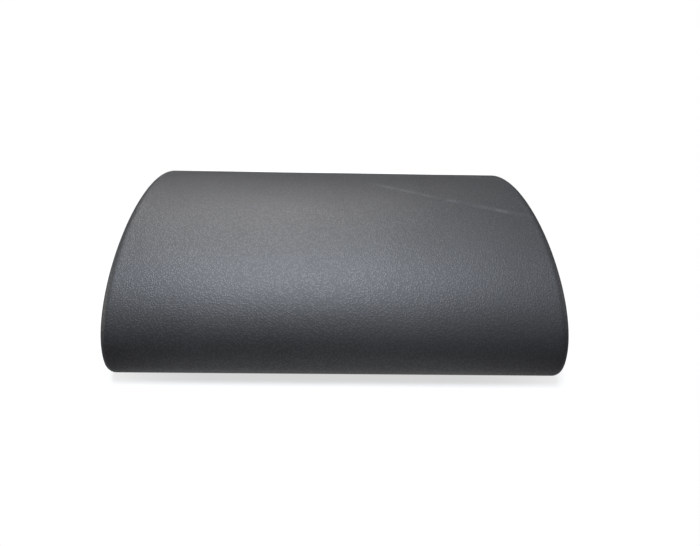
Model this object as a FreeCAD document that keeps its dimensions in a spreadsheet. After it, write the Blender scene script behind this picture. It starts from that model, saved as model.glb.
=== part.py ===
import FreeCAD, Part
import math
import os
import Sketcher

# Half-round foam roller: a firm laminated core, wrapped over the dome and round both long lower
# edges by one grained sheet, closed below by a base sheet and at the ends by D-shaped panels.
# X runs along the roller, Y across it and +Z up. The origin is the centre of the flat base.

doc = FreeCAD.newDocument("half_round_roller")

# ---- driving dimensions, in millimetres ----

drivers = [
    ("roller_length", "305"),    # end to end
    ("roller_width", "237"),     # across the widest line
    ("roller_height", "76"),     # base to crown
    ("edge_roll", "16"),         # outer radius of the long lower edges
    ("end_round", "6"),          # radius round the rim of each end
    ("sheet_thick", "10"),       # cover sheet and base sheet
    ("flange_width", "30"),      # flat return of the cover sheet under the base
    ("base_gap", "0.4"),         # open joint each side of the base sheet
    ("end_thick", "8"),          # end panel
    ("end_recess", "1"),         # end panel set back from the rim
    ("plank_thick", "20"),       # one layer of the core
    ("half_width", "=roller_width / 2"),
    ("dome_rise", "=roller_height - edge_roll"),
    ("inner_half", "=half_width - sheet_thick"),
    ("inner_rise", "=dome_rise - sheet_thick"),
    ("inner_roll", "=edge_roll - sheet_thick"),
    ("slot_width", "=2 * (half_width - edge_roll - flange_width)"),
    ("base_width", "=slot_width - 2 * base_gap"),
    ("core_length", "=roller_length - 2 * (end_recess + end_thick)"),
    ("right_panel_at", "=core_length / 2"),
    ("left_panel_at", "=-core_length / 2 - end_thick"),
    ("floor_level", "0"),
    ("lower_joint", "=sheet_thick + plank_thick"),
    ("upper_joint", "=lower_joint + plank_thick"),
]
sheet = doc.addObject("Spreadsheet::Sheet", "sizes")
for line, (alias, content) in enumerate(drivers, start=1):
    sheet.set(f"A{line}", alias)
    sheet.set(f"B{line}", content)
    sheet.setAlias(f"B{line}", alias)
doc.recompute()


def size(alias):
    return float(sheet.get(alias))


# ---- sketch and feature helpers ----

def newBody(name):
    body = doc.addObject("PartDesign::Body", name)
    body.Label = name
    return body


def newSketch(body, name, role):
    sketch = body.newObject("Sketcher::SketchObject", name)
    plane = [p for p in body.Origin.OriginFeatures if p.Role == role][0]
    sketch.AttachmentSupport = (plane, "")
    sketch.MapMode = "FlatFace"
    return sketch


def bind(sketch, name, formula, *constraint):
    index = sketch.addConstraint(Sketcher.Constraint(*constraint))
    sketch.renameConstraint(index, name)
    sketch.setExpression(f"Constraints.{name}", formula)


def drawArch(sketch, half, rise, roll):
    """Closed D outline: half an ellipse that springs from edge_roll, on a foot with rounded corners.

    half, rise and roll are the sheet's aliases for the half width, the rise above the springing
    line and the corner radius.
    """
    a, b, r = size(half), size(rise), size(roll)
    spring = size("edge_roll")
    up = FreeCAD.Vector(0, 0, 1)

    def point(y, z):
        return FreeCAD.Vector(y, z, 0)

    ellipse = Part.Ellipse(point(0, spring), a, b)
    dome = sketch.addGeometry(Part.ArcOfEllipse(ellipse, 0, math.pi))
    rightCircle = Part.Circle(point(a - r, spring), up, r)
    right = sketch.addGeometry(Part.ArcOfCircle(rightCircle, -math.pi / 2, 0))
    leftCircle = Part.Circle(point(r - a, spring), up, r)
    left = sketch.addGeometry(Part.ArcOfCircle(leftCircle, math.pi, 1.5 * math.pi))
    foot = sketch.addGeometry(Part.LineSegment(point(r - a, spring - r), point(a - r, spring - r)))
    sketch.exposeInternalGeometry(dome)
    major, minor = foot + 1, foot + 2

    sketch.addConstraint([
        Sketcher.Constraint("Coincident", dome, 1, right, 2),
        Sketcher.Constraint("Coincident", dome, 2, left, 1),
        Sketcher.Constraint("Coincident", left, 2, foot, 1),
        Sketcher.Constraint("Coincident", foot, 2, right, 1),
        Sketcher.Constraint("PointOnObject", dome, 3, -2),
        Sketcher.Constraint("Horizontal", major),
        Sketcher.Constraint("Horizontal", dome, 1, dome, 3),
        Sketcher.Constraint("Horizontal", dome, 2, dome, 3),
        Sketcher.Constraint("Horizontal", right, 3, dome, 3),
        Sketcher.Constraint("Horizontal", left, 3, dome, 3),
        Sketcher.Constraint("Vertical", right, 3, right, 1),
        Sketcher.Constraint("Vertical", left, 3, left, 2),
    ])
    bind(sketch, "spring", "sizes.edge_roll", "DistanceY", -1, 1, dome, 3, spring)
    bind(sketch, "span", f"2 * sizes.{half}", "Distance", major, 2 * a)
    bind(sketch, "rise", f"2 * sizes.{rise}", "Distance", minor, 2 * b)
    bind(sketch, "rollRight", f"sizes.{roll}", "Radius", right, r)
    bind(sketch, "rollLeft", f"sizes.{roll}", "Radius", left, r)


def drawRectangle(sketch, width, low, high):
    """Rectangle centred on the vertical axis; width, low and high are the sheet's aliases."""
    w, z0, z1 = size(width), size(low), size(high)
    corners = [(-w / 2, z0), (w / 2, z0), (w / 2, z1), (-w / 2, z1)]
    points = [FreeCAD.Vector(y, z, 0) for y, z in corners]
    for index in range(4):
        sketch.addGeometry(Part.LineSegment(points[index], points[(index + 1) % 4]))
    for index in range(4):
        sketch.addConstraint(Sketcher.Constraint("Coincident", index, 2, (index + 1) % 4, 1))
    sketch.addConstraint([
        Sketcher.Constraint("Vertical", 1),
        Sketcher.Constraint("Horizontal", 2),
        Sketcher.Constraint("Vertical", 3),
        Sketcher.Constraint("Symmetric", 0, 1, 0, 2, -2),
    ])
    bind(sketch, "width", f"sizes.{width}", "DistanceX", 0, 1, 0, 2, w)
    bind(sketch, "low", f"sizes.{low}", "DistanceY", -1, 1, 0, 1, z0)
    bind(sketch, "high", f"sizes.{high}", "DistanceY", -1, 1, 2, 1, z1)


def extrude(body, kind, name, sketch, length, centred=True):
    """Pads or pockets a sketch along X; a pocket has to take material away."""
    before = body.Shape.Volume if kind == "Pocket" else 0
    feature = body.newObject(f"PartDesign::{kind}", name)
    feature.Profile = sketch
    feature.Midplane = centred
    feature.setExpression("Length", f"sizes.{length}")
    doc.recompute()
    if kind == "Pocket" and body.Shape.Volume > before - 1:
        raise RuntimeError(f"{name} cuts nothing")
    return feature


def roundRims(body, name, feature, wanted):
    """Rounds those edges of the two end faces for which wanted(edge) is true."""
    end = size("roller_length") / 2
    names = []
    for number, edge in enumerate(feature.Shape.Edges, start=1):
        box = edge.BoundBox
        onEnd = box.XLength < 0.01 and abs(abs(box.XMin) - end) < 0.01
        if onEnd and wanted(edge):
            names.append(f"Edge{number}")
    fillet = body.newObject("PartDesign::Fillet", name)
    fillet.Base = (feature, names)
    fillet.setExpression("Radius", "sizes.end_round")
    doc.recompute()


# ---- cover sheet: the grained skin, rounded at both rims, open below between its flanges ----

cover = newBody("cover_sheet")
outline = newSketch(cover, "cover_outline", "YZ_Plane")
drawArch(outline, "half_width", "dome_rise", "edge_roll")
block = extrude(cover, "Pad", "cover_block", outline, "roller_length")
roundRims(cover, "cover_rims", block, lambda edge: True)
hollow = newSketch(cover, "cover_hollow", "YZ_Plane")
drawArch(hollow, "inner_half", "inner_rise", "inner_roll")
extrude(cover, "Pocket", "cover_inside", hollow, "roller_length")
slot = newSketch(cover, "cover_slot", "YZ_Plane")
drawRectangle(slot, "slot_width", "floor_level", "edge_roll")
extrude(cover, "Pocket", "cover_opening", slot, "roller_length")

# ---- base sheet: fills the opening between the flanges and grips the floor ----

base = newBody("base_sheet")
strip = newSketch(base, "base_outline", "YZ_Plane")
drawRectangle(strip, "base_width", "floor_level", "sheet_thick")
slab = extrude(base, "Pad", "base_slab", strip, "roller_length")
roundRims(base, "base_rims", slab, lambda edge: edge.BoundBox.ZMax < 0.01)


# ---- end panels: D-shaped, set back inside the cover sheet's rims ----

def makeEndPanel(name, place):
    panel = newBody(name)
    face = newSketch(panel, f"{name}_outline", "YZ_Plane")
    drawArch(face, "inner_half", "inner_rise", "inner_roll")
    extrude(panel, "Pad", f"{name}_pad", face, "end_thick", centred=False)
    panel.setExpression("Placement.Base.x", f"sizes.{place}")
    return panel


leftPanel = makeEndPanel("left_end_panel", "left_panel_at")
rightPanel = makeEndPanel("right_end_panel", "right_panel_at")


# ---- core: three planks glued flat, then milled to the arch ----

def makePlank(name, below, above):
    """One plank of the milled core; below and above are its glue joints, or None at the outside."""
    plank = newBody(name)
    arch = newSketch(plank, f"{name}_outline", "YZ_Plane")
    drawArch(arch, "inner_half", "inner_rise", "inner_roll")
    extrude(plank, "Pad", f"{name}_arch", arch, "core_length")
    if above:
        upper = newSketch(plank, f"{name}_over", "YZ_Plane")
        drawRectangle(upper, "roller_width", above, "roller_height")
        extrude(plank, "Pocket", f"{name}_top", upper, "roller_length")
    if below:
        lower = newSketch(plank, f"{name}_under", "YZ_Plane")
        drawRectangle(lower, "roller_width", "floor_level", below)
        extrude(plank, "Pocket", f"{name}_bottom", lower, "roller_length")
    return plank


lowerPlank = makePlank("core_lower_plank", None, "lower_joint")
middlePlank = makePlank("core_middle_plank", "lower_joint", "upper_joint")
upperPlank = makePlank("core_upper_plank", "upper_joint", None)

# ---- checks and export ----

doc.recompute()
for item in doc.Objects:
    if "Invalid" in item.State or "Error" in item.State:
        raise RuntimeError(f"{item.Name} is in state {item.State}")
    if item.TypeId == "Sketcher::SketchObject" and not item.FullyConstrained:
        raise RuntimeError(f"{item.Name} is not fully constrained")

pieces = [cover, base, leftPanel, rightPanel, lowerPlank, middlePlank, upperPlank]
for piece in pieces:
    shape = piece.Shape
    if shape.isNull() or not shape.isValid() or len(shape.Solids) != 1:
        raise RuntimeError(f"{piece.Label} is not one valid solid")

os.makedirs("parts", exist_ok=True)
for piece in pieces:
    piece.Shape.exportStep(f"parts/{piece.Label}.step")
    box = piece.Shape.optimalBoundingBox()
    extent = f"{box.XLength:.1f} x {box.YLength:.1f} x {box.ZLength:.1f} mm"
    print(f"{piece.Label}: {extent}, {piece.Shape.Volume / 1e6:.3f} litres")
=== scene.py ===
import bmesh
import bpy
import math
import numpy as np
from mathutils import Matrix, Vector


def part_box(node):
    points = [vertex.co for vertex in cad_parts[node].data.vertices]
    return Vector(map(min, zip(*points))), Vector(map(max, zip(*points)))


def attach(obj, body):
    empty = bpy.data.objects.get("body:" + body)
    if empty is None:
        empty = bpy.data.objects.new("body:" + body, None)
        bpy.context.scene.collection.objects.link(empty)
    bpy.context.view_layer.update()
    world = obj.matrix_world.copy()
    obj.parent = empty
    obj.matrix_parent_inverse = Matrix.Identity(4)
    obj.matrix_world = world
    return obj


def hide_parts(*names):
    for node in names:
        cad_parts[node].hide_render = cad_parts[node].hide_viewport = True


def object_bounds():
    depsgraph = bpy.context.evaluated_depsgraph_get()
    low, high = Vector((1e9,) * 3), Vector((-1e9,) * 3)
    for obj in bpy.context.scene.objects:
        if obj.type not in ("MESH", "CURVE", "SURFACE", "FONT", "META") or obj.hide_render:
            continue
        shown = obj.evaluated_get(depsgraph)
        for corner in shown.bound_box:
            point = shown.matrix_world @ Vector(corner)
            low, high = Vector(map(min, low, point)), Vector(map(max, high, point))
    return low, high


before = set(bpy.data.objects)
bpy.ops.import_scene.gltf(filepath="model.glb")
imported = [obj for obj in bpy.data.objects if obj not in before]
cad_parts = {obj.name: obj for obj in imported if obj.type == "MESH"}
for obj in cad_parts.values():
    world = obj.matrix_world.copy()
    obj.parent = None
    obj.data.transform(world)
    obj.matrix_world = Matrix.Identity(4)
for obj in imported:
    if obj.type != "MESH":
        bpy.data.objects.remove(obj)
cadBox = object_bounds()
mm = 0.001
print("frame loaded")


# camera, lights and floor

cameraFacts = {
    "eye": (-9.75, -342.4, 261.4),   # mm from the middle of the base
    "pitch": 36.41,                  # degrees down from level
    "turn": 1.33,                    # degrees to the right of straight ahead
    "roll": 1.47,                    # degrees, anticlockwise
    "lens": 25.6,                    # mm, as in a phone
    "sensor": 36,                    # mm wide
    "clip": 0.01,                    # metres, nothing nearer is drawn
    "shift": (0.0261, -0.0054),      # of the width, as the frame is a little off the lens's axis
}

# softboxes: place and size in metres, power in watts; each one faces the roller
lightFacts = {
    "behindLeft": {"at": (-0.20, 0.86, 1.06), "size": (0.9, 0.6), "power": 17.8, "tint": "#fffdf9"},
    "overhead": {"at": (-0.09, -0.06, 1.38), "size": (0.6, 0.6), "power": 45.5, "tint": "#eaf2ff"},
    "leftSide": {"at": (-1.25, 0.0, 0.35), "size": (0.6, 0.6), "power": 6.5, "tint": "#fffdf9"},
    "rightSide": {"at": (1.25, 0.15, 0.35), "size": (0.6, 0.6), "power": 2.5, "tint": "#fffdf9"},
    "front": {"at": (0.0, -0.99, 1.03), "size": (0.7, 0.7), "power": 3.8, "tint": "#ffffff"},
}
floorFacts = {
    "reach": 2.5,                # metres
    "level": -0.05,              # mm, a hair under the base, so that the two don't flicker
    "fade": (0.17, 0.42),        # metres from the roller, where the table gives way to the sky
    "narrow": 1.7,               # how much sooner that is beyond the roller's two ends
    "colour": "#7e7e7d",         # opal acrylic, white once it is lit
    "glow": 0.62,                # lamps under the acrylic, which keep the shadow soft and pale
    "roughness": 0.9,
    "shine": 0.1,                # sanded, so it mirrors almost nothing
}
skyFacts = {"colour": "#ffffff", "glow": 0.09}   # glow is how strongly it lights


def linear(code):
    # sRGB hex to the linear colour that a socket takes
    parts = [int(code[i:i + 2], 16) / 255 for i in (1, 3, 5)]
    return tuple(c / 12.92 if c <= 0.04045 else ((c + 0.055) / 1.055) ** 2.4 for c in parts) + (1,)


def addNode(tree, kind, links=(), **settings):
    # links maps a socket to a value or to another node's output; settings are the node's own
    node = tree.nodes.new(kind)
    for key, value in settings.items():
        setattr(node, key, value)
    for socket, value in dict(links).items():
        if isinstance(value, bpy.types.NodeSocket):
            tree.links.new(value, node.inputs[socket])
        else:
            node.inputs[socket].default_value = value
    return node


def newMaterial(name):
    material = bpy.data.materials.new(name)
    material.use_nodes = True
    tree = material.node_tree
    tree.nodes.clear()
    shader = addNode(tree, "ShaderNodeBsdfPrincipled")
    addNode(tree, "ShaderNodeOutputMaterial", {"Surface": shader.outputs["BSDF"]})
    return material, tree, shader


def linkObject(name, data):
    thing = bpy.data.objects.new(name, data)
    bpy.context.scene.collection.objects.link(thing)
    return thing


def placeCamera(facts):
    data = bpy.data.cameras.new("studioCamera")
    data.sensor_width = facts["sensor"]
    data.lens = facts["lens"]
    data.shift_x, data.shift_y = facts["shift"]
    data.clip_start = facts["clip"]
    camera = linkObject("studioCamera", data)
    turn = Matrix.Rotation(-math.radians(facts["turn"]), 4, "Z")
    tilt = Matrix.Rotation(math.radians(90 - facts["pitch"]), 4, "X")
    roll = Matrix.Rotation(math.radians(facts["roll"]), 4, "Z")
    camera.matrix_world = Matrix.Translation(Vector(facts["eye"]) * mm) @ turn @ tilt @ roll
    bpy.context.scene.camera = camera


def opalAcrylic(facts):
    # opal acrylic light table, cast and sanded: even and matt, with a pale soft shadow. It thins out
    # into the white sky and is clear from below, so that the underside can be looked at
    material, tree, shader = newMaterial("opalAcrylicSanded")
    shader.inputs["Base Color"].default_value = linear(facts["colour"])
    shader.inputs["Roughness"].default_value = facts["roughness"]
    shader.inputs["Specular IOR Level"].default_value = facts["shine"]
    shader.inputs["Emission Color"].default_value = (1, 1, 1, 1)
    shader.inputs["Emission Strength"].default_value = facts["glow"]
    coords = addNode(tree, "ShaderNodeTexCoord").outputs["Object"]
    squeezed = addNode(tree, "ShaderNodeVectorMath", {0: coords, 1: (facts["narrow"], 1, 1)},
                       operation="MULTIPLY").outputs["Vector"]
    away = addNode(tree, "ShaderNodeVectorMath", {0: squeezed}, operation="LENGTH").outputs["Value"]
    near, far = facts["fade"]
    thin = addNode(tree, "ShaderNodeMapRange", {"Value": away, "From Min": near, "From Max": far},
                   interpolation_type="SMOOTHSTEP").outputs["Result"]
    below = addNode(tree, "ShaderNodeNewGeometry").outputs["Backfacing"]
    unseen = addNode(tree, "ShaderNodeMath", {0: thin, 1: below}, operation="MAXIMUM").outputs[0]
    clear = addNode(tree, "ShaderNodeBsdfTransparent").outputs["BSDF"]
    either = addNode(tree, "ShaderNodeMixShader", {0: unseen, 1: shader.outputs["BSDF"], 2: clear})
    tree.links.new(either.outputs["Shader"], tree.nodes["Material Output"].inputs["Surface"])
    return material


def makeSetting():
    reach = floorFacts["reach"]
    mesh = bpy.data.meshes.new("studioFloor")
    level = floorFacts["level"] * mm
    signs = ((-1, -1), (1, -1), (1, 1), (-1, 1))
    corners = [(x * reach, y * reach, level) for x, y in signs]
    mesh.from_pydata(corners, [], [(0, 1, 2, 3)])
    mesh.materials.append(opalAcrylic(floorFacts))
    linkObject("studioFloor", mesh)
    aim = Vector((0, 0, cadBox[1][2] / 2))
    for name, facts in lightFacts.items():
        data = bpy.data.lights.new(name, "AREA")
        data.shape = "RECTANGLE"
        data.size, data.size_y = facts["size"]
        data.energy = facts["power"]
        data.color = linear(facts["tint"])[:3]
        light = linkObject(name, data)
        light.location = facts["at"]
        light.rotation_euler = (aim - light.location).to_track_quat("-Z", "Y").to_euler()
    world = bpy.data.worlds.new("studioSky")
    bpy.context.scene.world = world
    world.use_nodes = True
    tree = world.node_tree
    background = tree.nodes["Background"]
    background.inputs["Color"].default_value = linear(skyFacts["colour"])
    seen = addNode(tree, "ShaderNodeLightPath").outputs["Is Camera Ray"]
    strength = addNode(tree, "ShaderNodeMapRange", {"Value": seen, "To Min": skyFacts["glow"]})
    tree.links.new(strength.outputs["Result"], background.inputs["Strength"])
    bpy.context.scene.view_settings.view_transform = "Standard"


placeCamera(cameraFacts)
makeSetting()
print("camera, lights and floor placed")


# the arch that every piece follows, read from the frame

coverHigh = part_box("cover_sheet")[1]
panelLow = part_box("right_end_panel")[0]
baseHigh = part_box("base_sheet")[1]
cornerRoll = 16 * mm                          # outer radius of the two long lower edges
sheetThick = panelLow[2]                      # the end panels stand on the sheet's inner face
footHalf = coverHigh[1] - cornerRoll          # the flat underside ends here
archSteps = {"corner": 14, "dome": 204, "foot": 60, "ruler": 4001}   # ruler: points to measure it by
mirrored = (-1, 1)                            # the same outline on the roller's other side
sharpAngle = 40                               # degrees, steeper edges than this are drawn sharp


def makeArch():
    # outer points and the direction to the same station further in, from the right end of the
    # foot over the dome to its left end, evenly spaced
    across, rise = coverHigh[1], coverHigh[2] - cornerRoll
    fine = np.linspace(0, math.pi, archSteps["ruler"])
    speed = np.hypot(across * np.sin(fine), rise * np.cos(fine))
    length = np.concatenate([[0], np.cumsum(speed[1:] + speed[:-1])])
    over = np.interp(np.linspace(0, length[-1], archSteps["dome"] + 1), length, fine)
    down = np.linspace(-math.pi / 2, 0, archSteps["corner"] + 1)[:-1]
    corner = np.c_[footHalf + cornerRoll * np.cos(down), cornerRoll * (1 + np.sin(down))]
    dome = np.c_[across * np.cos(over), cornerRoll + rise * np.sin(over)]
    cornerIn = -np.c_[np.cos(down), np.sin(down)]
    domeIn = -np.c_[np.cos(over), np.sin(over)]
    outer = np.vstack([corner, dome, corner[::-1] * mirrored])
    inward = np.vstack([cornerIn, domeIn, cornerIn[::-1] * mirrored])
    return outer, inward


archOuter, archInward = makeArch()


def archLoop(depth):
    # closed D outline at a depth inside the outer surface, with its flat foot
    across = np.linspace(-footHalf, footHalf, archSteps["foot"] + 1)[:-1]
    return np.vstack([np.c_[across, np.full(len(across), depth)], archOuter + depth * archInward])


def softNoise(points, grain, seed):
    # smooth value noise from 0 to 1, with its hills about one grain (metres) apart. The large odd
    # numbers only scramble a cell's place into its height, the same on every run
    cells = points / grain + seed * 17.3
    whole = np.floor(cells).astype(np.int64)
    part = cells - whole
    part = part * part * (3 - 2 * part)
    total = np.zeros(points.shape[:-1])
    for corner in range(8):
        bits = np.array([corner >> axis & 1 for axis in range(3)])
        mixed = (whole + bits) @ np.array([374761393, 668265263, 2147483647])
        mixed = (mixed ^ (mixed >> 13)) * 1274126177 % 4294967296
        total += mixed / 4294967296 * np.prod(np.where(bits, part, 1 - part), axis=-1)
    return total


def meshPiece(name, loops, material):
    # joins closed loops of equal length into quads and fills the first and the last loop
    loops = np.asarray(loops)
    rows, count = loops.shape[:2]
    made = bmesh.new()
    verts = [made.verts.new(p) for p in loops.reshape(-1, 3)]
    for row in range(rows - 1):
        for k in range(count):
            a, b = row * count + k, row * count + (k + 1) % count
            made.faces.new([verts[a], verts[b], verts[b + count], verts[a + count]])
    made.faces.new(verts[:count][::-1])
    made.faces.new(verts[-count:])
    bmesh.ops.recalc_face_normals(made, faces=made.faces)
    mesh = bpy.data.meshes.new(name)
    made.to_mesh(mesh)
    made.free()
    mesh.shade_smooth()
    mesh.set_sharp_from_angle(angle=math.radians(sharpAngle))
    mesh.materials.append(material)
    return linkObject(name, mesh)


def quarter(steps):
    # angles from 0 to 90 degrees
    return np.linspace(0, math.pi / 2, steps + 1)


def finishPiece(piece, node):
    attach(piece, "root")
    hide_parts(node)
    print(piece.name, len(piece.data.polygons), "faces")


# cover sheet: pebbled foam wrapped over the dome and under both long edges

coverFacts = {
    "endRound": 6.0,        # mm, the rim of each end
    "cutRound": 0.8,        # mm, edges left by the knife and buffed
    "flange": 30.0,         # mm turned under each long side
    "rimSteps": 8,
    "cutSteps": 3,
    "columnStep": 1.5,      # mm between points along the roller
    "insidePoints": 12,     # along the roller, on the sheet's inner face
    "flangePoints": 16,     # across a flange
    "sag": (0.22, 46.0),    # mm deep and mm apart: the slow unevenness of laminated foam
    "ripple": (0.05, 13.0),
    "settle": 30.0,         # mm above the floor where the unevenness reaches its full depth
}

# faint creases over the crown, where the sheet was once folded. Across = offset + slope * along
# + bend * along squared, in mm, for along between the ends; depth in mm
# the mesh dips along each crease, and the cover's colour is paler along it: a painted highlight
creases = [
    {"offset": 52.5, "slope": -0.70, "bend": 0.0014, "ends": (22, 150), "depth": 0.10},
    {"offset": 150.0, "slope": -1.03, "bend": 0.0025, "ends": (88, 148), "depth": 0.06},
]
creaseWidth = 4.0 * mm   # beside its line: the painted highlight ends here and the dip is down to a third
creaseFade = {"pressed": 15, "paler": 20, "up": 10}   # mm over which a crease starts and stops


def creaseDepth(points):
    # how far the creases press the surface in at each point
    along, across, high = points[..., 0] / mm, points[..., 1] / mm, points[..., 2]
    total = np.zeros(along.shape)
    for crease in creases:
        line = crease["offset"] + along * (crease["slope"] + along * crease["bend"])
        steep = np.hypot(1, crease["slope"] + 2 * along * crease["bend"])
        off = (across - line) / steep * mm / creaseWidth
        start, stop = crease["ends"]
        fade = np.clip(np.minimum(along - start, stop - along) / creaseFade["pressed"], 0, 1)
        total += crease["depth"] * mm * fade * np.exp(-off * off) * (high > sheetThick)
    return total


def makeCoverSheet(material):
    facts = coverFacts
    endRound = facts["endRound"] * mm
    cut = facts["cutRound"] * mm
    halfLength = coverHigh[0]
    slot = footHalf - facts["flange"] * mm
    # columns: one closed circuit along the inside, round one rim, along the outside and back
    rim = quarter(facts["rimSteps"])
    buffed = quarter(facts["cutSteps"])
    rimX = np.concatenate([cut * (1 - np.sin(buffed)), endRound * (1 - np.cos(rim))]) - halfLength
    rimDepth = np.concatenate([sheetThick - cut * (1 - np.cos(buffed)), endRound * (1 - np.sin(rim))])
    steps = round(2 * (halfLength - endRound) / (facts["columnStep"] * mm))
    outside = np.linspace(endRound - halfLength, halfLength - endRound, steps + 1)[1:-1]
    inside = np.linspace(halfLength - cut, cut - halfLength, facts["insidePoints"])[1:-1]
    x = np.concatenate([rimX, outside, -rimX[::-1], inside])
    depth = np.concatenate([rimDepth, 0 * outside, rimDepth[::-1], 0 * inside + sheetThick])

    # rows: the buffed flange edge, the flange, the arch, and the same again on the left
    edge = np.c_[slot + cut * (1 - np.cos(buffed)), cut * (1 - np.sin(buffed))]
    flat = np.linspace(slot + cut, footHalf, facts["flangePoints"])[1:-1]
    flange = np.vstack([edge, np.c_[flat, 0 * flat]])
    outer = np.vstack([flange, archOuter, flange[::-1] * mirrored])
    lift = np.tile((0.0, 1.0), (len(flange), 1))
    inward = np.vstack([lift, archInward, lift])

    onFlange = np.abs(np.arange(len(outer)) - (len(outer) - 1) / 2) > (len(archOuter) - 1) / 2
    start = outer[:, None] + depth[None, :, None] * inward[:, None]
    loops = np.dstack([np.broadcast_to(x[None], start.shape[:2]), start[..., 0], start[..., 1]])
    sag = sum(deep * mm * softNoise(loops, apart * mm, seed)
              for seed, (deep, apart) in enumerate((facts["sag"], facts["ripple"])))
    above = np.clip(loops[..., 2] / (facts["settle"] * mm), 0, 1)
    outward = np.clip(1 - depth / endRound, 0, 1)[None] * above
    press = (sag + creaseDepth(loops)) * outward
    loops[..., 1] += press * inward[:, None, 0]
    loops[..., 2] += press * inward[:, None, 1]
    # the flange edge is rounded only as far as the rim has not already cut it away
    low = np.where(depth < sheetThick - 1e-9, np.maximum(outer[:, None, 1], depth[None]), sheetThick)
    loops[..., 2] = np.where(onFlange[:, None], low, loops[..., 2])
    return meshPiece("coverSheet", loops, material)


# base sheet: closes the underside, ribbed for grip

baseFacts = {
    "endRound": 6.0,        # mm, like the cover sheet's rim
    "cutRound": 0.8,        # mm
    "groove": {"apart": 6.0, "wide": 2.2, "deep": 0.9},   # mm
    "margin": 5.0,          # mm left plain beside each joint
    "step": 0.5,            # mm between points across the ribs
    "rimSteps": 8,
    "cutSteps": 3,
    "lengthPoints": 24,     # along the roller
}


def makeBaseSheet(material):
    facts = baseFacts
    groove = {key: value * mm for key, value in facts["groove"].items()}
    end, half = baseHigh[0], baseHigh[1]
    cut = facts["cutRound"] * mm
    turn = quarter(facts["cutSteps"])
    corner = np.c_[half - cut * (1 - np.sin(turn)), cut * (1 - np.cos(turn))]
    steps = 2 * round((half - cut) / (facts["step"] * mm))
    under = np.linspace(cut - half, half - cut, steps + 1)[1:-1]
    reach = half - facts["margin"] * mm
    count = math.floor(reach / groove["apart"])
    nearest = np.clip(np.round(under / groove["apart"]), -count, count) * groove["apart"]
    away = np.clip(np.abs(under - nearest) / (groove["wide"] / 2), 0, 1)
    ribs = groove["deep"] * (1 + np.cos(math.pi * away)) / 2
    section = np.vstack([np.c_[under, ribs], corner, [(half, sheetThick), (-half, sheetThick)],
                         corner[::-1] * mirrored])
    rim = quarter(facts["rimSteps"])
    endRound = facts["endRound"] * mm
    rimX = endRound * (1 - np.cos(rim)) - end
    rimLift = endRound * (1 - np.sin(rim))
    middle = np.linspace(endRound - end, end - endRound, facts["lengthPoints"])[1:-1]
    places = np.concatenate([rimX, middle, -rimX[::-1]])
    lifts = np.concatenate([rimLift, 0 * middle, rimLift[::-1]])
    loops = []
    for x, lift in zip(places, lifts):
        loops.append(np.c_[np.full(len(section), x), section[:, 0], np.maximum(section[:, 1], lift)])
    return meshPiece("baseSheet", loops, material)


# end panels: cut D shapes pressed in behind each rim

panelFacts = {
    "joint": 0.25,          # mm open between panel and sheet
    "cutRound": 1.0,        # mm
    "cutSteps": 4,
    "rings": 16,            # loops between the edge and the middle of the face
    "eye": 0.03,            # size of the last loop beside the first, closed by one small face
    "uneven": (0.16, 24.0),  # mm deep and mm apart
}


def makeEndPanel(name, node, side, material):
    facts = panelFacts
    joint = facts["joint"] * mm
    cut = facts["cutRound"] * mm
    low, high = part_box(node)
    back, front = sorted((abs(low[0]), abs(high[0])))
    turn = quarter(facts["cutSteps"])
    middle = np.array((0, (low[2] + high[2]) / 2))
    places = [(back, joint), (back + (front - back) / 2, joint)]
    places += [(front - cut + cut * math.sin(a), joint + cut * (1 - math.cos(a))) for a in turn]
    loops = []
    for x, inset in places:
        line = archLoop(sheetThick + inset)
        loops.append(np.c_[np.full(len(line), x), line])
    edge = archLoop(sheetThick + joint + cut)
    for k in np.linspace(1, facts["eye"], facts["rings"] + 1)[1:]:
        ring = middle + (edge - middle) * k
        loops.append(np.c_[np.full(len(ring), front), ring])
    loops = np.array(loops)
    deep, apart = facts["uneven"]
    face = np.arange(len(loops)) >= len(places)
    dip = deep * mm * softNoise(loops, apart * mm, 3 + side) * face[:, None]
    loops[..., 0] = side * (loops[..., 0] - dip)
    return meshPiece(name, loops, material)


# core planks: laminated and milled to the arch, out of sight inside

plankFacts = {
    "cutRound": 0.6,        # mm, sawn edge
    "joint": 0.1,           # mm, glue line
    "cutSteps": 3,
}


def makePlank(name, node, material):
    low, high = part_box(node)
    cut = plankFacts["cutRound"] * mm
    joint = plankFacts["joint"] * mm
    line = archLoop(sheetThick + joint)
    bottom = low[2] + joint
    top = high[2] - joint / 2

    def plankLoop(inset):
        # the arch between the plank's two faces
        at = np.clip(line[:, 1], bottom + inset, top - inset)
        rise = coverHigh[2] - cornerRoll - sheetThick - joint
        share = np.clip((at - cornerRoll) / rise, 0, 1)
        limit = (coverHigh[1] - sheetThick - joint) * np.sqrt(1 - share ** 2) - inset
        return np.c_[np.clip(line[:, 0], -limit, limit), at]

    turn = quarter(plankFacts["cutSteps"])
    places = [(high[0] - cut + cut * math.sin(a), cut * (1 - math.cos(a))) for a in turn]
    loops = []
    for x, inset in [(-p, i) for p, i in places[::-1]] + places:
        ring = plankLoop(inset)
        loops.append(np.c_[np.full(len(ring), x), ring])
    return meshPiece(name, loops, material)


# finishes

foamIor = 1.5   # EVA and polyethylene alike

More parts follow.
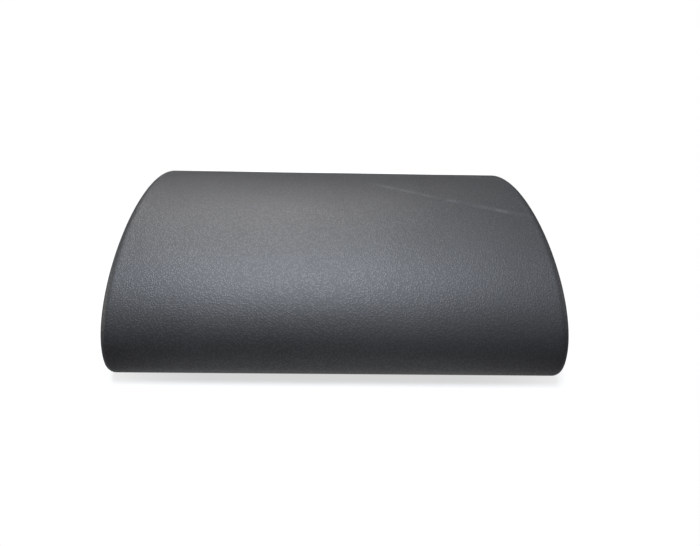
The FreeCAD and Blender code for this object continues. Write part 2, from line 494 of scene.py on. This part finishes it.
pebbleFacts = {
    "pebble": 1.3,                # mm across one pebble; really about 0.7, drawn coarser to show
    "gapEdge": (0.2, 0.65),       # where a pebble falls off to the gap, as a share of its size
    "missed": 0.3,                # share of pebbles that the plate pressed less well, low and dark
    "grit": 0.6,                  # mm, the foam's own cells, really about 0.3, drawn coarser to show
    "patch": 55.0,                # mm, slow drift of the pigment
    "patchEdge": (0.35, 0.75),    # levels of the drift where it starts and is full
    "patchShare": 0.35,           # of the drift colour at the most
    "creaseHighlightPatch": 9.0,            # mm, patches where the painted highlight on a crease is stronger or weaker
    "creaseHighlightEdge": (0.3, 0.6),
    "top": "#212122",
    "valley": "#111112",
    "drift": "#252526",
    # paler colour along the creases: a painted highlight
    "crease": "#2d2e2f",
    "roughness": (0.485, 0.575),  # on a pebble and between pebbles
    "relief": 0.055,              # mm
    "shine": 0.42,                # a little below plain EVA, for the dusty skin
}


def scaleFor(size):
    # a pattern's scale from its real size in millimetres
    return 1000 / size


def creaseHighlightMask(tree, coords, facts):
    # where the painted highlight goes: 1 on a crease and 0 away from it, from the same lines as the mesh
    axes = addNode(tree, "ShaderNodeSeparateXYZ", {0: coords}).outputs
    paler = creaseFade["paler"] * mm
    above = addNode(tree, "ShaderNodeMapRange",
                    {"Value": axes["Z"], "From Min": cornerRoll,
                     "From Max": cornerRoll + creaseFade["up"] * mm})
    total = None
    for crease in creases:
        start, stop = (end * mm for end in crease["ends"])
        steep = addNode(tree, "ShaderNodeMath",
                        {0: axes["X"], 1: crease["bend"] / mm, 2: crease["slope"]},
                        operation="MULTIPLY_ADD")
        line = addNode(tree, "ShaderNodeMath",
                       {0: axes["X"], 1: steep.outputs[0], 2: crease["offset"] * mm},
                       operation="MULTIPLY_ADD")
        beside = addNode(tree, "ShaderNodeMath", {0: axes["Y"], 1: line.outputs[0]}, operation="SUBTRACT")
        away = addNode(tree, "ShaderNodeMath", {0: beside.outputs[0]}, operation="ABSOLUTE")
        on = addNode(tree, "ShaderNodeMapRange",
                     {"Value": away.outputs[0], "From Min": creaseWidth, "From Max": 0.0},
                     interpolation_type="SMOOTHSTEP")
        opening = addNode(tree, "ShaderNodeMapRange",
                          {"Value": axes["X"], "From Min": start, "From Max": start + paler})
        closing = addNode(tree, "ShaderNodeMapRange",
                          {"Value": axes["X"], "From Min": stop, "From Max": stop - paler})
        value = on.outputs["Result"]
        for fade in (opening, closing, above):
            value = addNode(tree, "ShaderNodeMath", {0: value, 1: fade.outputs["Result"]},
                            operation="MULTIPLY").outputs[0]
        if total is not None:
            value = addNode(tree, "ShaderNodeMath", {0: value, 1: total}, operation="MAXIMUM").outputs[0]
        total = value
    # noise makes the painted highlight stronger in some patches and weaker in others
    worn = addNode(tree, "ShaderNodeTexNoise",
                   {"Vector": coords, "Scale": scaleFor(facts["creaseHighlightPatch"]), "Detail": 2.0})
    least, most = facts["creaseHighlightEdge"]
    uneven = addNode(tree, "ShaderNodeMapRange",
                     {"Value": worn.outputs["Fac"], "From Min": least, "From Max": most})
    return addNode(tree, "ShaderNodeMath", {0: total, 1: uneven.outputs["Result"]},
                   operation="MULTIPLY").outputs[0]


def evaSheetPebbled(facts):
    # closed-cell EVA foam sheet, hot-pressed on a pebbled plate: a satin skin of small rounded
    # pebbles, dark between them, that spreads a highlight wide and soft
    material, tree, shader = newMaterial("evaFoamSheetHotPressedPebble")
    coords = addNode(tree, "ShaderNodeTexCoord").outputs["Object"]
    pebbles = addNode(tree, "ShaderNodeTexVoronoi",
                      {"Vector": coords, "Scale": scaleFor(facts["pebble"])}).outputs
    grit = addNode(tree, "ShaderNodeTexNoise",
                   {"Vector": coords, "Scale": scaleFor(facts["grit"]), "Detail": 1.0}).outputs["Fac"]
    patch = addNode(tree, "ShaderNodeTexNoise",
                    {"Vector": coords, "Scale": scaleFor(facts["patch"]), "Detail": 2.0}).outputs["Fac"]
    near, far = facts["gapEdge"]
    gap = addNode(tree, "ShaderNodeMapRange",
                  {"Value": pebbles["Distance"], "From Min": near, "From Max": far},
                  interpolation_type="SMOOTHSTEP").outputs["Result"]
    chance = addNode(tree, "ShaderNodeSeparateColor", {0: pebbles["Color"]}).outputs["Red"]
    missed = addNode(tree, "ShaderNodeMapRange",
                     {"Value": chance, "From Min": 1 - facts["missed"],
                      "From Max": 1.0}).outputs["Result"]
    valley = addNode(tree, "ShaderNodeMath", {0: gap, 1: missed}, operation="MAXIMUM").outputs[0]
    least, most = facts["patchEdge"]
    drift = addNode(tree, "ShaderNodeMapRange",
                    {"Value": patch, "From Min": least, "From Max": most,
                     "To Max": facts["patchShare"]}).outputs["Result"]
    # where the creases get their painted highlight
    crease = creaseHighlightMask(tree, coords, facts)
    grain = addNode(tree, "ShaderNodeMix",
                    {0: valley, 6: linear(facts["top"]), 7: linear(facts["valley"])},
                    data_type="RGBA").outputs[2]
    drifted = addNode(tree, "ShaderNodeMix", {0: drift, 6: grain, 7: linear(facts["drift"])},
                      data_type="RGBA").outputs[2]
    # paler along the creases: a painted highlight
    colour = addNode(tree, "ShaderNodeMix", {0: crease, 6: drifted, 7: linear(facts["crease"])},
                     data_type="RGBA").outputs[2]
    tree.links.new(colour, shader.inputs["Base Color"])
    smooth, rough = facts["roughness"]
    polish = addNode(tree, "ShaderNodeMapRange", {"Value": valley, "To Min": smooth, "To Max": rough})
    tree.links.new(polish.outputs["Result"], shader.inputs["Roughness"])
    height = addNode(tree, "ShaderNodeMath", {0: valley, 1: -1.0, 2: grit}, operation="MULTIPLY_ADD")
    bump = addNode(tree, "ShaderNodeBump", {"Height": height.outputs[0], "Distance": facts["relief"] * mm})
    tree.links.new(bump.outputs["Normal"], shader.inputs["Normal"])
    shader.inputs["IOR"].default_value = foamIor
    shader.inputs["Specular IOR Level"].default_value = facts["shine"]
    return material


buffedFacts = {
    "cell": 1.1,                # mm across one opened cell; really about 0.4, drawn coarser to show
    "pitEdge": (0.02, 0.22),    # from a cell's wall in to its pit, as a share of its size
    "cloud": 14.0,              # mm, where the belt took more off
    "streak": (30.0, 0.9),      # mm long and mm apart: marks of the buffing belt
    "streakTilt": 0.12,         # radians that the belt ran off level
    "dustEdge": (0.9, 1.25),    # cloud and streak together, where dust starts and is full
    "dustShare": 0.5,           # of the dusty colour at the most
    "wall": "#4f5053",
    "pit": "#2a2b2e",
    "dusty": "#5b5c5f",
    "roughness": (0.72, 0.9),   # on a wall and in a pit
    "relief": 0.10,             # mm
}


def evaSheetBuffed(facts):
    # EVA foam cut with a knife and buffed: its closed cells are sliced open, so the face is matt
    # and finely pitted
    material, tree, shader = newMaterial("evaFoamPanelCutAndBuffed")
    coords = addNode(tree, "ShaderNodeTexCoord").outputs["Object"]
    cells = addNode(tree, "ShaderNodeTexVoronoi", {"Vector": coords, "Scale": scaleFor(facts["cell"])},
                    feature="DISTANCE_TO_EDGE").outputs["Distance"]
    near, far = facts["pitEdge"]
    pits = addNode(tree, "ShaderNodeMapRange", {"Value": cells, "From Min": near, "From Max": far},
                   interpolation_type="SMOOTHSTEP").outputs["Result"]
    cloud = addNode(tree, "ShaderNodeTexNoise",
                    {"Vector": coords, "Scale": scaleFor(facts["cloud"]), "Detail": 3.0}).outputs["Fac"]
    long, apart = facts["streak"]
    stretched = addNode(tree, "ShaderNodeMapping",
                        {"Vector": coords, "Rotation": (facts["streakTilt"], 0, 0),
                         "Scale": (scaleFor(apart), scaleFor(long), scaleFor(apart))}).outputs["Vector"]
    streak = addNode(tree, "ShaderNodeTexNoise",
                     {"Vector": stretched, "Scale": 1.0, "Detail": 2.0}).outputs["Fac"]
    worn = addNode(tree, "ShaderNodeMath", {0: cloud, 1: streak}, operation="ADD").outputs[0]
    least, most = facts["dustEdge"]
    dust = addNode(tree, "ShaderNodeMapRange",
                   {"Value": worn, "From Min": least, "From Max": most,
                    "To Max": facts["dustShare"]}).outputs["Result"]
    pitted = addNode(tree, "ShaderNodeMix", {0: pits, 6: linear(facts["wall"]), 7: linear(facts["pit"])},
                     data_type="RGBA").outputs[2]
    colour = addNode(tree, "ShaderNodeMix", {0: dust, 6: pitted, 7: linear(facts["dusty"])},
                     data_type="RGBA").outputs[2]
    tree.links.new(colour, shader.inputs["Base Color"])
    smooth, rough = facts["roughness"]
    dull = addNode(tree, "ShaderNodeMapRange", {"Value": pits, "To Min": smooth, "To Max": rough})
    tree.links.new(dull.outputs["Result"], shader.inputs["Roughness"])
    bump = addNode(tree, "ShaderNodeBump", {"Height": pits, "Distance": facts["relief"] * mm}, invert=True)
    tree.links.new(bump.outputs["Normal"], shader.inputs["Normal"])
    shader.inputs["IOR"].default_value = foamIor
    return material


ribbedFacts = {
    "grit": 0.6,                # mm, moulded skin, really about 0.2, drawn coarser to show
    "scuff": 7.0,               # mm between the patches that the floor rubs
    "scuffEdge": (0.42, 0.62),
    "touch": 0.25,              # mm above the floor that still gets rubbed
    "colour": "#2a2b2d",
    "worn": "#3a3b3d",
    "roughness": (0.78, 0.62),  # as moulded and where it is rubbed
    "relief": 0.10,             # mm
}


def evaSheetRibbed(facts):
    # denser EVA foam sheet, moulded with grip ribs: dull, a little paler where the floor rubs it
    material, tree, shader = newMaterial("evaFoamSheetMouldedRibs")
    coords = addNode(tree, "ShaderNodeTexCoord").outputs["Object"]
    grit = addNode(tree, "ShaderNodeTexNoise",
                   {"Vector": coords, "Scale": scaleFor(facts["grit"]), "Detail": 2.0}).outputs["Fac"]
    scuff = addNode(tree, "ShaderNodeTexNoise",
                    {"Vector": coords, "Scale": scaleFor(facts["scuff"]), "Detail": 4.0,
                     "Roughness": 0.7}).outputs["Fac"]
    height = addNode(tree, "ShaderNodeSeparateXYZ", {0: coords}).outputs["Z"]
    touching = addNode(tree, "ShaderNodeMapRange",
                       {"Value": height, "From Min": facts["touch"] * mm,
                        "From Max": 0.0}).outputs["Result"]
    least, most = facts["scuffEdge"]
    rubbed = addNode(tree, "ShaderNodeMapRange",
                     {"Value": scuff, "From Min": least, "From Max": most}).outputs["Result"]
    worn = addNode(tree, "ShaderNodeMath", {0: touching, 1: rubbed}, operation="MULTIPLY").outputs[0]
    colour = addNode(tree, "ShaderNodeMix", {0: worn, 6: linear(facts["colour"]), 7: linear(facts["worn"])},
                     data_type="RGBA").outputs[2]
    tree.links.new(colour, shader.inputs["Base Color"])
    moulded, polished = facts["roughness"]
    dull = addNode(tree, "ShaderNodeMapRange", {"Value": worn, "To Min": moulded, "To Max": polished})
    tree.links.new(dull.outputs["Result"], shader.inputs["Roughness"])
    bump = addNode(tree, "ShaderNodeBump", {"Height": grit, "Distance": facts["relief"] * mm})
    tree.links.new(bump.outputs["Normal"], shader.inputs["Normal"])
    shader.inputs["IOR"].default_value = foamIor
    return material


plankFoamFacts = {
    "cell": 1.4,                # mm across one cell
    "pitEdge": (0.03, 0.3),     # from a cell's wall in to its pit, as a share of its size
    "wall": "#e4e2da",
    "pit": "#c4c2b8",
    "roughness": (0.45, 0.65),  # on a wall and in a pit
    "relief": 0.2,              # mm
}


def polyethylenePlank(facts):
    # expanded polyethylene plank, sawn: off-white and waxy, with round cells of about a millimetre
    material, tree, shader = newMaterial("polyethyleneFoamPlankSawn")
    coords = addNode(tree, "ShaderNodeTexCoord").outputs["Object"]
    cells = addNode(tree, "ShaderNodeTexVoronoi", {"Vector": coords, "Scale": scaleFor(facts["cell"])},
                    feature="DISTANCE_TO_EDGE").outputs["Distance"]
    near, far = facts["pitEdge"]
    pits = addNode(tree, "ShaderNodeMapRange", {"Value": cells, "From Min": near, "From Max": far},
                   interpolation_type="SMOOTHSTEP").outputs["Result"]
    colour = addNode(tree, "ShaderNodeMix", {0: pits, 6: linear(facts["wall"]), 7: linear(facts["pit"])},
                     data_type="RGBA").outputs[2]
    tree.links.new(colour, shader.inputs["Base Color"])
    smooth, rough = facts["roughness"]
    waxy = addNode(tree, "ShaderNodeMapRange", {"Value": pits, "To Min": smooth, "To Max": rough})
    tree.links.new(waxy.outputs["Result"], shader.inputs["Roughness"])
    bump = addNode(tree, "ShaderNodeBump", {"Height": pits, "Distance": facts["relief"] * mm}, invert=True)
    tree.links.new(bump.outputs["Normal"], shader.inputs["Normal"])
    shader.inputs["IOR"].default_value = foamIor
    return material


# the roller put together

pebbled = evaSheetPebbled(pebbleFacts)
ribbed = evaSheetRibbed(ribbedFacts)
buffed = evaSheetBuffed(buffedFacts)
plank = polyethylenePlank(plankFoamFacts)
print("finishes made")

coverSheet = makeCoverSheet(pebbled)
finishPiece(coverSheet, "cover_sheet")

baseSheet = makeBaseSheet(ribbed)
finishPiece(baseSheet, "base_sheet")

for name, node, side in (("leftEndPanel", "left_end_panel", -1), ("rightEndPanel", "right_end_panel", 1)):
    endPanel = makeEndPanel(name, node, side, buffed)
    finishPiece(endPanel, node)

for name, node in (("coreLowerPlank", "core_lower_plank"), ("coreMiddlePlank", "core_middle_plank"),
                   ("coreUpperPlank", "core_upper_plank")):
    corePlank = makePlank(name, node, plank)
    finishPiece(corePlank, node)
